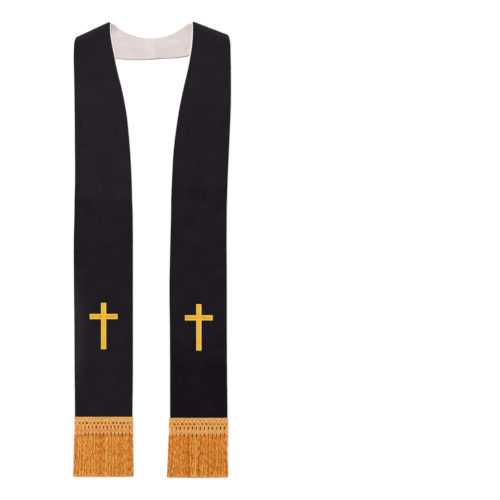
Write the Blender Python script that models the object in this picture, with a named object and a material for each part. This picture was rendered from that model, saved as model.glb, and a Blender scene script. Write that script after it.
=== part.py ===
"""A clerical stole laid flat: two lined strips, folded over at the shoulders, that meet behind the neck.

Metres, +Z up. The stole lies on the plane z = 0 with its neck towards +Y, and the origin is the middle of
its outline. Each half is one long panel, a black face over a white lining, that runs from its fringed hem
up the front, turns over at the shoulder and ends at the centre-back seam, where the lining faces up.
"""

import math
import random
from collections import namedtuple

import bmesh
import bpy
from mathutils import Vector

# The cloth: the lining, a gap, and the face with the interfacing bonded to its inner side
LINING_THICKNESS = 0.0010
FACE_THICKNESS = 0.0012
SEAM_GAP = 0.0003
STACK = LINING_THICKNESS + SEAM_GAP + FACE_THICKNESS
CELLS_ACROSS = 5

# The turn at the shoulder: the panel rolls over an air space of this radius, and its outer edge runs
# towards the neck by the taper as it turns, which rounds the corner
FOLD_INSIDE_RADIUS = 0.0012
FOLD_STEPS = 6
FOLD_FADE = 0.035
FOLD_AXIS_HEIGHT = STACK + FOLD_INSIDE_RADIUS
SHOULDER_TAPER = 0.008

# The front lies on the back piece at the top, and comes down to the floor below its lower edge
REST_ON_BACK = STACK + SEAM_GAP
LEDGE_MARGIN = 0.007
LEDGE_SLOPE = 0.022

# The lining's edges beside the face's: rolled out at the neck of the fronts, short of the edge elsewhere
LINING_INSET = 0.0008
LINING_ROLL = -0.0020
LINING_AT_NECKLINE = -0.0003
ROLL_STARTS_Y = 0.438
ROLL_IS_FULL_Y = 0.466

# The centre-back seam, and the turnings of the lining pressed open beside it
CENTRE_SEAM_X = -0.0042
SEAM_TURNING = 0.014
SEAM_TURNING_HEIGHT = 0.0004
SEAM_TURNING_FADE = 0.004

# A row across the panel; steps is the number of sections made from it to the next row
Row = namedtuple("Row", "inner_x inner_y outer_x outer_y steps")

# A soft ridge across a front, where the stole was folded in its box
Crease = namedtuple("Crease", "middle_x y slope height half_width")

# What is particular to one half
Half = namedtuple(
    "Half",
    "name neck shoulder front back creases cross_x cross_top"
    " hem_y braid_inner braid_outer braid_repeats fringe_inner fringe_outer")

LEFT = Half(
    name="left",
    neck=(-0.1030, 0.5468),
    shoulder=(-0.1830, 0.5096),
    front=(
        Row(-0.0480, -0.4413, -0.1853, -0.4413, 2),
        Row(-0.0480, -0.3900, -0.1853, -0.3900, 2),
        Row(-0.0470, -0.2890, -0.1863, -0.2890, 2),
        Row(-0.0470, -0.1885, -0.1868, -0.1885, 2),
        Row(-0.0470, -0.0875, -0.1878, -0.0875, 2),
        Row(-0.0470, 0.0135, -0.1883, 0.0135, 3),
        Row(-0.0475, 0.0850, -0.1868, 0.0850, 4),
        Row(-0.0488, 0.1210, -0.1863, 0.1210, 4),
        Row(-0.0497, 0.1570, -0.1854, 0.1570, 2),
        Row(-0.0516, 0.2000, -0.1852, 0.2000, 2),
        Row(-0.0546, 0.2485, -0.1857, 0.2485, 3),
        Row(-0.0609, 0.3155, -0.1860, 0.3155, 3),
        Row(-0.0656, 0.3450, -0.1864, 0.3450, 3),
        Row(-0.0731, 0.3830, -0.1869, 0.3830, 4),
        Row(-0.0850, 0.4310, -0.1879, 0.4310, 5),
        Row(-0.0928, 0.4695, -0.1885, 0.4645, 4),
        Row(-0.0984, 0.4980, -0.1878, 0.4875, 3),
        Row(-0.1016, 0.5220, -0.1858, 0.4990, 3),
    ),
    back=(
        Row(-0.0915, 0.5400, -0.1625, 0.5010, 3),
        Row(-0.0810, 0.5310, -0.1375, 0.4830, 2),
        Row(-0.0690, 0.5230, -0.1110, 0.4670, 2),
        Row(-0.0545, 0.5165, -0.0835, 0.4590, 2),
        Row(-0.0380, 0.5110, -0.0545, 0.4555, 2),
        Row(-0.0210, 0.5075, -0.0270, 0.4555, 2),
        Row(CENTRE_SEAM_X - SEAM_GAP / 2, 0.5070, CENTRE_SEAM_X - SEAM_GAP / 2, 0.4565, 0),
    ),
    creases=(
        Crease(-0.1175, 0.1210, 0.02, 0.0011, 0.018),
        Crease(-0.1260, 0.3450, -0.05, 0.0007, 0.024),
    ),
    cross_x=-0.1167,
    cross_top=-0.1279,
    hem_y=-0.4413,
    braid_inner=-0.0468,
    braid_outer=-0.1865,
    braid_repeats=15,
    fringe_inner=-0.0453,
    fringe_outer=-0.1889,
)

RIGHT = Half(
    name="right",
    neck=(0.0988, 0.5473),
    shoulder=(0.1848, 0.5144),
    front=(
        Row(0.0435, -0.4440, 0.1795, -0.4440, 2),
        Row(0.0430, -0.3900, 0.1800, -0.3900, 2),
        Row(0.0430, -0.2890, 0.1790, -0.2890, 2),
        Row(0.0425, -0.1885, 0.1785, -0.1885, 2),
        Row(0.0415, -0.0875, 0.1785, -0.0875, 2),
        Row(0.0435, 0.0135, 0.1780, 0.0135, 3),
        Row(0.0452, 0.0850, 0.1783, 0.0850, 4),
        Row(0.0456, 0.1210, 0.1790, 0.1210, 4),
        Row(0.0471, 0.1570, 0.1802, 0.1570, 2),
        Row(0.0490, 0.2000, 0.1818, 0.2000, 2),
        Row(0.0525, 0.2485, 0.1841, 0.2485, 3),
        Row(0.0614, 0.3155, 0.1870, 0.3155, 3),
        Row(0.0664, 0.3450, 0.1880, 0.3450, 3),
        Row(0.0743, 0.3830, 0.1885, 0.3830, 4),
        Row(0.0855, 0.4310, 0.1883, 0.4310, 5),
        Row(0.0929, 0.4695, 0.1877, 0.4670, 4),
        Row(0.0966, 0.4980, 0.1871, 0.4910, 3),
        Row(0.0979, 0.5220, 0.1855, 0.5035, 3),
    ),
    back=(
        Row(0.0860, 0.5410, 0.1685, 0.5055, 3),
        Row(0.0740, 0.5325, 0.1420, 0.4875, 2),
        Row(0.0615, 0.5245, 0.1160, 0.4725, 2),
        Row(0.0470, 0.5165, 0.0880, 0.4650, 2),
        Row(0.0300, 0.5110, 0.0560, 0.4600, 2),
        Row(0.0125, 0.5075, 0.0235, 0.4585, 2),
        Row(CENTRE_SEAM_X + SEAM_GAP / 2, 0.5070, CENTRE_SEAM_X + SEAM_GAP / 2, 0.4565, 0),
    ),
    creases=(
        Crease(0.1125, 0.1210, -0.015, 0.0012, 0.018),
        Crease(0.1270, 0.3450, 0.04, 0.0009, 0.024),
    ),
    cross_x=0.1119,
    cross_top=-0.1310,
    hem_y=-0.4440,
    braid_inner=0.0402,
    braid_outer=0.1813,
    braid_repeats=14,
    fringe_inner=0.0360,
    fringe_outer=0.1822,
)

# The embroidered cross: a satin border raised round a lower filling
CROSS_WIDTH = 0.0676
CROSS_HEIGHT = 0.1120
CROSS_BAR = 0.0132
CROSS_ARM_BELOW_TOP = 0.0330
CrossRing = namedtuple("CrossRing", "inset height")
CROSS_RINGS = (
    CrossRing(0.0000, 0.0000),
    CrossRing(0.0000, 0.0004),
    CrossRing(0.0012, 0.0010),
    CrossRing(0.0030, 0.0011),
    CrossRing(0.0048, 0.0007),
)

# The braid that heads the fringe: rows of thread down its height, with the heights at the columns that hold
# its two lower rows of holes and at the upright posts between them, where the topmost holes are
BRAID_HEIGHT = 0.0445
BRAID_OVER_HEM = 0.0050
BRAID_MARGIN = 0.0030
BraidRow = namedtuple("BraidRow", "down hole_height post_height")
BRAID_ROWS = (
    BraidRow(0.0000, 0.0006, 0.0006),
    BraidRow(0.0030, 0.0010, 0.0012),
    BraidRow(0.0068, 0.0008, 0.0013),
    BraidRow(0.0108, 0.0013, 0.0009),
    BraidRow(0.0148, 0.0012, 0.0003),
    BraidRow(0.0188, 0.0014, 0.0012),
    BraidRow(0.0222, 0.0006, 0.0011),
    BraidRow(0.0262, 0.0003, 0.0012),
    BraidRow(0.0300, 0.0012, 0.0011),
    BraidRow(0.0350, 0.0014, 0.0014),
    BraidRow(0.0392, 0.0006, 0.0011),
    BraidRow(0.0415, 0.0003, 0.0010),
    BraidRow(BRAID_HEIGHT, 0.0006, 0.0008),
)
PICOT_DEPTH = 0.0008

# The fringe: two layers of locks from a woven strip under the braid's lower edge
FRINGE_STRIP_HEIGHT = 0.0040
FRINGE_STRIP_BOTTOM = 0.0003
FRINGE_STRIP_INSET = 0.0006
FRINGE_LENGTH = 0.1010
FRINGE_SWAY = 0.0012
SWAY_PER_LOCK = 0.31
SWAY_TURNS = 1.3
FRINGE_UNEVEN = 0.0030
LOCKS_IN_LAYER = 54
WELD_DISTANCE = 0.00001
LOCK_RADIUS = 0.0006
LOCK_SWELL = 1.4
LOCK_POINTS = 4
LAYER_STARTS = (0.25, 0.75)
ROOT_HEIGHTS = (0.00110, 0.00165)
LOCK_HEIGHTS = (0.00115, 0.00250)

# Finishes: base colour, roughness, metallic
Finish = namedtuple("Finish", "colour roughness metallic")
FINISHES = {
    "face": Finish((0.014, 0.012, 0.016), 0.80, 0.0),
    "lining": Finish((0.76, 0.68, 0.67), 0.60, 0.0),
    "cross": Finish((0.80, 0.42, 0.04), 0.38, 0.0),
    "braid": Finish((0.64, 0.30, 0.08), 0.50, 0.0),
    "fringe": Finish((0.60, 0.25, 0.05), 0.45, 0.0),
}


def remove_everything():
    for thing in list(bpy.data.objects):
        bpy.data.objects.remove(thing, do_unlink=True)


def new_collection(name):
    collection = bpy.data.collections.new(name)
    bpy.context.scene.collection.children.link(collection)
    return collection


def finish_material(name, finish):
    material = bpy.data.materials.new(name)
    material.use_nodes = True
    shader = material.node_tree.nodes["Principled BSDF"]
    shader.inputs["Base Color"].default_value = (*finish.colour, 1.0)
    shader.inputs["Roughness"].default_value = finish.roughness
    shader.inputs["Metallic"].default_value = finish.metallic
    return material


def add_object(name, mesh, collection, finish):
    """Put a finished mesh in the collection as an object with a material of its own."""
    made = bpy.data.objects.new(name, mesh)
    made.data.materials.clear()
    made.data.materials.append(finish_material(name, FINISHES[finish]))
    collection.objects.link(made)
    return made


def ease(value):
    """0 below 0, 1 above 1, and a smooth rise between."""
    value = min(max(value, 0.0), 1.0)
    return value * value * (3.0 - 2.0 * value)


def curve_point(start, end, leave, arrive, part):
    """A point on the cubic curve from start to end with the given end slopes."""
    square = part * part
    cube = square * part
    return (
        start * (2.0 * cube - 3.0 * square + 1.0)
        + leave * (cube - 2.0 * square + part)
        + end * (3.0 * square - 2.0 * cube)
        + arrive * (cube - square)
    )


def smooth_rows(rows):
    """Pairs of inner and outer points on smooth curves through the rows."""
    knots = [Vector((row.inner_x, row.inner_y, row.outer_x, row.outer_y)) for row in rows]
    places = [0.0]
    for before, after in zip(knots, knots[1:]):
        places.append(places[-1] + (after - before).length)
    last = len(knots) - 1
    slopes = []
    for index in range(len(knots)):
        low = max(index - 1, 0)
        high = min(index + 1, last)
        slopes.append((knots[high] - knots[low]) / (places[high] - places[low]))
    points = []
    for index, row in enumerate(rows[:-1]):
        span = places[index + 1] - places[index]
        for step in range(row.steps):
            part = step / row.steps
            points.append(curve_point(
                knots[index], knots[index + 1], slopes[index] * span, slopes[index + 1] * span, part))
    points.append(knots[last])
    return [(Vector(point[:2]), Vector(point[2:])) for point in points]


class Section:
    """One cross-section of the panel: its edge points in plan and how far it has turned over."""

    def __init__(self, inner, outer, turn, on_front):
        self.inner = inner
        self.outer = outer
        self.turn = turn
        self.on_front = on_front
        self.width = (outer - inner).length


class Panel:
    """One half of the stole as a folded sheet, from its hem to the centre-back seam."""

    def __init__(self, half):
        self.half = half
        neck = Vector(half.neck)
        shoulder = Vector(half.shoulder)
        along = (shoulder - neck).normalized()
        self.fold_out = Vector((-along.y, along.x))
        if self.fold_out.y < 0.0:
            self.fold_out.negate()
        inset = self.fold_out * (FOLD_INSIDE_RADIUS + STACK)
        self.axis_inner = neck - inset
        self.axis_outer = shoulder - inset
        self.taper = along * -SHOULDER_TAPER
        self.sections = self.make_sections()

    def make_sections(self):
        front_end = Row(*self.axis_inner, *self.axis_outer, 0)
        back_start = Row(*self.axis_inner, *(self.axis_outer + self.taper), 2)
        front = smooth_rows(self.half.front + (front_end,))
        back = smooth_rows((back_start,) + self.half.back)
        sections = [Section(inner, outer, 0.0, True) for inner, outer in front]
        for step in range(1, FOLD_STEPS):
            part = step / FOLD_STEPS
            sections.append(Section(
                self.axis_inner, self.axis_outer + self.taper * part, math.pi * part, False))
        sections += [Section(inner, outer, math.pi, False) for inner, outer in back]
        return sections

    def back_edge_y(self, x):
        """The height on the plan of the back piece's lower edge at x."""
        corners = [self.axis_outer + self.taper]
        corners += [Vector((row.outer_x, row.outer_y)) for row in self.half.back]
        x = abs(x)
        if x >= abs(corners[0].x):
            return corners[0].y
        for before, after in zip(corners, corners[1:]):
            low, high = abs(after.x), abs(before.x)
            if low <= x <= high:
                return after.y + (before.y - after.y) * (x - low) / (high - low)
        return corners[-1].y

    def lift(self, spot):
        """The height of the front's underside: over the back piece, beside the turn and on its creases."""
        ledge = spot.y - (self.back_edge_y(spot.x) - LEDGE_MARGIN - LEDGE_SLOPE)
        height = REST_ON_BACK * ease(ledge / LEDGE_SLOPE)
        from_fold = (self.axis_inner - spot).dot(self.fold_out)
        height += (2.0 * FOLD_INSIDE_RADIUS - SEAM_GAP) * (1.0 - ease(from_fold / FOLD_FADE))
        for crease in self.half.creases:
            crest_y = crease.y + crease.slope * (spot.x - crease.middle_x)
            height += crease.height * ease(1.0 - abs(spot.y - crest_y) / crease.half_width)
        return height

    def point(self, section, across, depth):
        """A point of the sheet; depth counts from the lining's outer side to the face's."""
        spot = section.inner.lerp(section.outer, across)
        reach = FOLD_INSIDE_RADIUS + depth
        axis_height = FOLD_AXIS_HEIGHT
        if section.on_front:
            axis_height = self.lift(spot) - FOLD_INSIDE_RADIUS
        spot = spot + self.fold_out * (reach * math.sin(section.turn))
        return Vector((spot.x, spot.y, axis_height + reach * math.cos(section.turn)))

    def ring(self, section, low, high, inner_inset, outer_inset, relief=None):
        """The closed outline of a wall at one section, between two depths and two edges."""
        places = [cell / CELLS_ACROSS for cell in range(CELLS_ACROSS + 1)]
        places[0] = inner_inset / section.width
        places[-1] = 1.0 - outer_inset / section.width
        upper = [self.point(section, place, high) for place in places]
        lower = [self.point(section, place, low) for place in reversed(places)]
        if relief:
            lower = [relief(point) for point in lower]
        return upper + lower


def loft(rings):
    """A closed mesh through rings of points, capped at both ends.

    The second half of a ring comes back under the first, and there each face is split the other way, so that
    both sides of a wall, and the walls that lie on each other, have their diagonals in the same places.
    """
    shape = bmesh.new()
    loops = [[shape.verts.new(point) for point in ring] for ring in rings]
    for before, after in zip(loops, loops[1:]):
        for index in range(len(before)):
            follower = (index + 1) % len(before)
            corners = (before[index], before[follower], after[follower], after[index])
            first = 0 if index < len(before) // 2 else 1
            shape.faces.new((corners[first], corners[first + 1], corners[first + 2]))
            shape.faces.new((corners[first + 2], corners[(first + 3) % 4], corners[first]))
    shape.faces.new(list(reversed(loops[0])))
    shape.faces.new(loops[-1])
    return finished_mesh(shape)


def finished_mesh(shape):
    bmesh.ops.recalc_face_normals(shape, faces=shape.faces)
    mesh = bpy.data.meshes.new("shape")
    shape.to_mesh(mesh)
    shape.free()
    mesh.shade_smooth()
    mesh.set_sharp_from_angle(angle=math.radians(50.0))
    return mesh


def make_face(panel):
    low = LINING_THICKNESS + SEAM_GAP
    return loft([panel.ring(section, low, STACK, 0.0, 0.0) for section in panel.sections])


def raised_turning(point):
    """Raise the lining's outer points over the turnings pressed open at the centre-back seam."""
    from_seam = abs(point.x - CENTRE_SEAM_X)
    over_turning = ease((SEAM_TURNING - from_seam) / SEAM_TURNING_FADE)
    return point + Vector((0.0, 0.0, SEAM_TURNING_HEIGHT * over_turning))


def lining_inner_inset(section):
    """How far the lining stops short of the face on the neck side, or rolls out past it."""
    if not section.on_front:
        return LINING_ROLL + (LINING_AT_NECKLINE - LINING_ROLL) * section.turn / math.pi
    rolled = ease((section.inner.y - ROLL_STARTS_Y) / (ROLL_IS_FULL_Y - ROLL_STARTS_Y))
    return LINING_INSET + (LINING_ROLL - LINING_INSET) * rolled


def make_lining(panel):
    rings = []
    for section in panel.sections:
        relief = raised_turning if section.turn == math.pi else None
        rings.append(panel.ring(
            section, 0.0, LINING_THICKNESS, lining_inner_inset(section), LINING_INSET, relief))
    return loft(rings)


def cross_outline(inset):
    """The twelve corners of the Latin cross, moved in from its edge, about the middle of its top."""
    bar = CROSS_BAR / 2.0 - inset
    arm = CROSS_WIDTH / 2.0 - inset
    top = -inset
    foot = inset - CROSS_HEIGHT
    arm_top = bar - CROSS_ARM_BELOW_TOP
    arm_foot = -bar - CROSS_ARM_BELOW_TOP
    return (
        (-bar, top), (-bar, arm_top), (-arm, arm_top), (-arm, arm_foot), (-bar, arm_foot), (-bar, foot),
        (bar, foot), (bar, arm_foot), (arm, arm_foot), (arm, arm_top), (bar, arm_top), (bar, top),
    )


def make_cross(panel):
    rings = []
    for ring in CROSS_RINGS:
        points = []
        for x, y in cross_outline(ring.inset):
            spot = Vector((panel.half.cross_x + x, panel.half.cross_top + y))
            points.append(Vector((*spot, panel.lift(spot) + STACK + SEAM_GAP + ring.height)))
        rings.append(points)
    return loft(rings)


def make_braid(half):
    """The openwork heading: a sheet raised in bands of thread, with its holes as dimples."""
    shape = bmesh.new()
    columns = 2 * half.braid_repeats + 2
    width = abs(half.braid_outer - half.braid_inner)
    half_repeat = (width - 2.0 * BRAID_MARGIN) / (columns - 2)
    outwards = math.copysign(1.0, half.braid_outer)
    underside = STACK + SEAM_GAP
    top_y = half.hem_y - BRAID_OVER_HEM + BRAID_HEIGHT
    bmesh.ops.create_grid(shape, x_segments=columns, y_segments=len(BRAID_ROWS) - 1, size=0.5)
    for vert in shape.verts:
        column = round((vert.co.x + 0.5) * columns)
        row_index = round((0.5 - vert.co.y) * (len(BRAID_ROWS) - 1))
        row = BRAID_ROWS[row_index]
        over_hole = column % 2 == 0 and 0 < column < columns
        picot = PICOT_DEPTH if over_hole and row_index == 0 else 0.0
        across = min(max(BRAID_MARGIN + half_repeat * (column - 1), 0.0), width)
        vert.co.x = half.braid_inner + outwards * across
        vert.co.y = top_y - row.down - picot
        vert.co.z = underside + (row.hole_height if over_hole else row.post_height)
    border = [edge for edge in shape.edges if edge.is_boundary]
    walls = bmesh.ops.extrude_edge_only(shape, edges=border)["geom"]
    for vert in walls:
        if isinstance(vert, bmesh.types.BMVert):
            vert.co.z = underside
    rim = [edge for edge in shape.edges if edge.is_boundary]
    bmesh.ops.contextual_create(shape, geom=rim)
    return finished_mesh(shape)


def between(start, end, part):
    return start + (end - start) * part


def lock_route(half, layer, index, draws):
    """The points of one lock, from inside the strip down to its cut end."""
    outwards = math.copysign(1.0, half.braid_outer)
    margin = FRINGE_STRIP_INSET + 2.0 * LOCK_RADIUS
    order = index + LAYER_STARTS[layer]
    place = order / LOCKS_IN_LAYER
    root_x = between(half.braid_inner + outwards * margin, half.braid_outer - outwards * margin, place)
    tip_x = between(half.fringe_inner + outwards * margin, half.fringe_outer - outwards * margin, place)
    root_y = half.hem_y - SEAM_GAP - FRINGE_STRIP_HEIGHT / 2.0
    length = FRINGE_LENGTH - draws.random() * FRINGE_UNEVEN
    sway = FRINGE_SWAY * math.sin(SWAY_PER_LOCK * order)
    route = []
    for step in range(LOCK_POINTS):
        part = step / (LOCK_POINTS - 1)
        x = between(root_x, tip_x, part) + sway * math.sin(SWAY_TURNS * math.pi * part)
        height = between(ROOT_HEIGHTS[layer], LOCK_HEIGHTS[layer], ease(part * (LOCK_POINTS - 1)))
        route.append((x, root_y - length * part, height))
    return route


def make_locks(half, guides):
    """All the locks of one fringe as one mesh of separate four-sided tubes."""
    draws = random.Random(half.name)
    curve = bpy.data.curves.new("locks", "CURVE")
    curve.dimensions = "3D"
    curve.bevel_depth = LOCK_RADIUS
    curve.bevel_resolution = 0
    curve.use_fill_caps = True
    for layer in range(len(LOCK_HEIGHTS)):
        for index in range(LOCKS_IN_LAYER):
            spline = curve.splines.new("POLY")
            spline.points.add(LOCK_POINTS - 1)
            for step, place in enumerate(lock_route(half, layer, index, draws)):
                spline.points[step].co = (*place, 1.0)
                spline.points[step].radius = LOCK_SWELL if step else 1.0
    tubes = bpy.data.objects.new("tubes_" + half.name, curve)
    guides.objects.link(tubes)
    bpy.context.view_layer.update()
    evaluated = tubes.evaluated_get(bpy.context.evaluated_depsgraph_get())
    mesh = bpy.data.meshes.new_from_object(evaluated)
    bpy.data.objects.remove(tubes, do_unlink=True)
    shape = bmesh.new()
    shape.from_mesh(mesh)
    bmesh.ops.remove_doubles(shape, verts=shape.verts, dist=WELD_DISTANCE)
    shape.to_mesh(mesh)
    shape.free()
    locks = bpy.data.objects.new("locks_" + half.name, mesh)
    guides.objects.link(locks)
    locks.hide_render = True
    locks.display_type = "WIRE"
    return locks


def make_strip(half):
    """The woven strip that holds the locks' roots, just below the hem."""
    top = half.hem_y - SEAM_GAP
    outwards = math.copysign(1.0, half.braid_outer)
    start = Vector((half.braid_inner + outwards * FRINGE_STRIP_INSET, top, FRINGE_STRIP_BOTTOM))
    end = Vector((half.braid_outer - outwards * FRINGE_STRIP_INSET, top - FRINGE_STRIP_HEIGHT, STACK))
    shape = bmesh.new()
    bmesh.ops.create_cube(shape, size=1.0)
    for vert in shape.verts:
        for axis in range(3):
            vert.co[axis] = between(start[axis], end[axis], vert.co[axis] + 0.5)
    return finished_mesh(shape)


def add_fringe(half, collection, guides):
    """The strip and its locks, joined into one body."""
    fringe = add_object("fringe_" + half.name, make_strip(half), collection, "fringe")
    union = fringe.modifiers.new("locks", "BOOLEAN")
    union.operation = "UNION"
    union.object = make_locks(half, guides)


def build_stole():
    remove_everything()
    stole = new_collection("clerical_stole")
    guides = new_collection("guides")
    for half in (LEFT, RIGHT):
        panel = Panel(half)
        add_object("face_" + half.name, make_face(panel), stole, "face")
        add_object("lining_" + half.name, make_lining(panel), stole, "lining")
        add_object("cross_" + half.name, make_cross(panel), stole, "cross")
        add_object("braid_" + half.name, make_braid(half), stole, "braid")
        add_fringe(half, stole, guides)


build_stole()
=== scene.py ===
# A clerical stole laid flat on a pale floor, seen from straight above: the finish of every surface.
# Metres, +Z up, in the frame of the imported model. The neck lies towards +Y and the fringed ends towards -Y.
import math
from collections import namedtuple
from functools import partial

import bpy
import numpy as np
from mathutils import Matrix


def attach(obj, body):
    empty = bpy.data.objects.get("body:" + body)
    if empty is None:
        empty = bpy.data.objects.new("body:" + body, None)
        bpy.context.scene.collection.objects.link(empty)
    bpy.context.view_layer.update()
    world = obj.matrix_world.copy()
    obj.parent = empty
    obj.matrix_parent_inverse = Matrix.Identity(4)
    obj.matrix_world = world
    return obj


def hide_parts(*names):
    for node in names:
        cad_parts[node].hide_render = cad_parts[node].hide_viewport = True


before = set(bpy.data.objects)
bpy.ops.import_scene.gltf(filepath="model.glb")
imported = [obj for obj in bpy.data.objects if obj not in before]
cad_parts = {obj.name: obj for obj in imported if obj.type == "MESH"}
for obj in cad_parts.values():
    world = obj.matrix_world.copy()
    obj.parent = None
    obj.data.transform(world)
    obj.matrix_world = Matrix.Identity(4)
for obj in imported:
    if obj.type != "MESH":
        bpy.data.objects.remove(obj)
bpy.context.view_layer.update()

MM = 0.001
BODY = "root"

# The panels, as the solids have them: lining below, face above, and the turn at the shoulder
LINING_THICKNESS = 1.0 * MM
FACE_THICKNESS = 1.2 * MM
SEAM_GAP = 0.3 * MM
STACK = LINING_THICKNESS + SEAM_GAP + FACE_THICKNESS
FOLD_INSIDE_RADIUS = 1.2 * MM
FOLD_FADE = 35.0 * MM
FOLD_AXIS_HEIGHT = STACK + FOLD_INSIDE_RADIUS
SHOULDER_TAPER = 8.0 * MM
REST_ON_BACK = STACK + SEAM_GAP
LEDGE_MARGIN = 7.0 * MM
LEDGE_SLOPE = 22.0 * MM

# The lining's edges beside the face's
LINING_INSET = 0.8 * MM
LINING_ROLL = -3.0 * MM
LINING_AT_NECKLINE = -0.3 * MM
LINING_SHOWS_FACE = 0.9 * MM
WANDER_PER_METRE = 78.5
ROLL_STARTS_Y = 0.438
ROLL_IS_FULL_Y = 0.466

# How much the seam turnings lighten the lining, and the crease height (mm) that would darken a trough as
# painted shade, or lighten a ridge as painted light, by 1
SEAM_TURNING_TONE = 0.06
CREASE_PAINTED_SHADE = 3.5

# The centre-back seam, drawn together here to a thread's width
CENTRE_SEAM_X = -0.0042
CENTRE_SEAM_GAP = 0.004 * MM
SEAM_TURNING = 14.0 * MM
SEAM_TURNING_HEIGHT = 0.4 * MM
SEAM_TURNING_FADE = 4.5 * MM

# How finely the cloth is divided
FRONT_SPACING = 4.0 * MM
BACK_SPACING = 1.3 * MM
FOLD_STEPS = 20
CELLS_ACROSS = 30
EDGE_STEPS = 4

# Bends sharper than this, at the cut ends, don't look rounded
CUT_END_ANGLE = math.radians(60.0)

Row = namedtuple("Row", "inner_x inner_y outer_x outer_y")

# Height and half width in millimetres
Crease = namedtuple("Crease", "middle_x y slope height half_width")

# A soft ridge, or a trough where its height is negative: its middle, heading in degrees, length and width
# in metres, and height in millimetres. A face's glow streaks are ridges of tone instead: painted light, as
# paler streaks. Its shade table pairs a place up its length with the tone there: painted light and shade,
# paler towards the neck and darker lower down, with painted shade at the packing crease
Ridge = namedtuple("Ridge", "x y heading length width height")

# Flat and area are those of the half's own cut, unfolded: the width and length of its box, and its area
Half = namedtuple(
    "Half",
    "name neck shoulder flat area front back creases ridges lining_ridges shades glows cross_x cross_top"
    " hem_y braid_inner braid_outer braid_repeats braid_tucked fringe_inner fringe_outer fringe_length"
    " fringe_tone")

# Up the fronts: y, the left strip's inner and outer x there, and the right strip's
LEVELS = (
    (-0.39, -0.048, -0.1853, 0.043, 0.18),
    (-0.289, -0.047, -0.1863, 0.043, 0.179),
    (-0.1885, -0.047, -0.1868, 0.0425, 0.1785),
    (-0.0875, -0.047, -0.1878, 0.0415, 0.1785),
    (0.0135, -0.047, -0.1883, 0.0435, 0.178),
    (0.085, -0.0475, -0.1868, 0.0452, 0.1783),
    (0.121, -0.0488, -0.1863, 0.0456, 0.179),
    (0.157, -0.0497, -0.1854, 0.0471, 0.1802),
    (0.2, -0.0516, -0.1852, 0.049, 0.1818),
    (0.2485, -0.0546, -0.1857, 0.0525, 0.1841),
    (0.3155, -0.0609, -0.186, 0.0614, 0.187),
    (0.345, -0.0656, -0.1864, 0.0664, 0.188),
    (0.383, -0.0731, -0.1869, 0.0743, 0.1885),
    (0.431, -0.085, -0.1879, 0.0855, 0.1883),
)
LEFT_ROWS = [Row(inner, y, outer, y) for y, inner, outer, _, _ in LEVELS]
RIGHT_ROWS = [Row(inner, y, outer, y) for y, _, _, inner, outer in LEVELS]

LEFT = Half(
    name="left",
    neck=(-0.103, 0.5468),
    shoulder=(-0.1858, 0.5083),
    flat=(0.142, 1.122),
    area=0.136,
    front=(
        Row(-0.048, -0.4413, -0.1853, -0.4413),
        *LEFT_ROWS,
        Row(-0.0928, 0.4695, -0.1885, 0.4645),
        Row(-0.0984, 0.498, -0.1878, 0.4875),
        Row(-0.1016, 0.522, -0.1866, 0.499),
    ),
    back=(
        Row(-0.0915, 0.54, -0.1625, 0.501),
        Row(-0.081, 0.531, -0.1375, 0.483),
        Row(-0.069, 0.523, -0.111, 0.467),
        Row(-0.0545, 0.5165, -0.0835, 0.459),
        Row(-0.038, 0.511, -0.0545, 0.4555),
        Row(-0.021, 0.5075, -0.027, 0.4555),
        Row(CENTRE_SEAM_X - CENTRE_SEAM_GAP / 2, 0.507, CENTRE_SEAM_X - CENTRE_SEAM_GAP / 2, 0.4565),
    ),
    creases=(
        Crease(-0.1175, 0.121, 0.02, 1.1, 18.0),
        Crease(-0.126, 0.345, -0.05, 0.7, 24.0),
    ),
    ridges=(
        (-0.164, 0.225, 84.0, 0.11, 0.016, 0.5),
        (-0.076, 0.27, 76.0, 0.09, 0.014, 0.4),
        (-0.15, 0.43, 112.0, 0.07, 0.014, 0.6),
        (-0.112, 0.465, 70.0, 0.05, 0.011, 0.5),
        (-0.135, 0.04, 8.0, 0.07, 0.012, 0.4),
        (-0.08, -0.055, 95.0, 0.08, 0.013, 0.35),
        (-0.17, -0.09, 88.0, 0.12, 0.012, 0.5),
        (-0.165, -0.305, 80.0, 0.08, 0.012, 0.35),
        (-0.075, -0.33, 99.0, 0.07, 0.013, 0.3),
    ),
    lining_ridges=(
        (-0.0912, 0.5311, -40.0, 0.026, 0.0036, -1.5),
        (-0.0925, 0.5372, -40.0, 0.017, 0.0026, -1.4),
        (-0.0945, 0.529, -52.0, 0.05, 0.015, -0.5),
        (-0.08, 0.515, -30.0, 0.024, 0.005, 0.5),
        (-0.07, 0.493, 20.0, 0.06, 0.011, 0.3),
        (-0.043, 0.479, -12.0, 0.05, 0.009, -0.2),
    ),
    # Painted light and shade up the left front: paler towards the neck, a painted shade step below the
    # packing crease, and a painted glow streak along the outer edge
    shades=(
        (-0.38, 0.38), (-0.2, 0.38), (-0.06, 0.31), (0.0, 0.35), (0.116, 0.39), (0.124, 0.55),
        (0.24, 0.58), (0.37, 0.6), (0.48, 0.54),
    ),
    glows=((-0.189, -0.19, 90.0, 0.36, 0.04, 1.25),),
    cross_x=-0.1167,
    cross_top=-0.1279,
    hem_y=-0.4413,
    braid_inner=-0.0468,
    braid_outer=-0.1865,
    braid_repeats=15,
    braid_tucked=(119.0, 138.5),
    fringe_inner=-0.0447,
    fringe_outer=-0.1902,
    fringe_length=102.4 * MM,
    fringe_tone=0.04,
)

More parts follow.
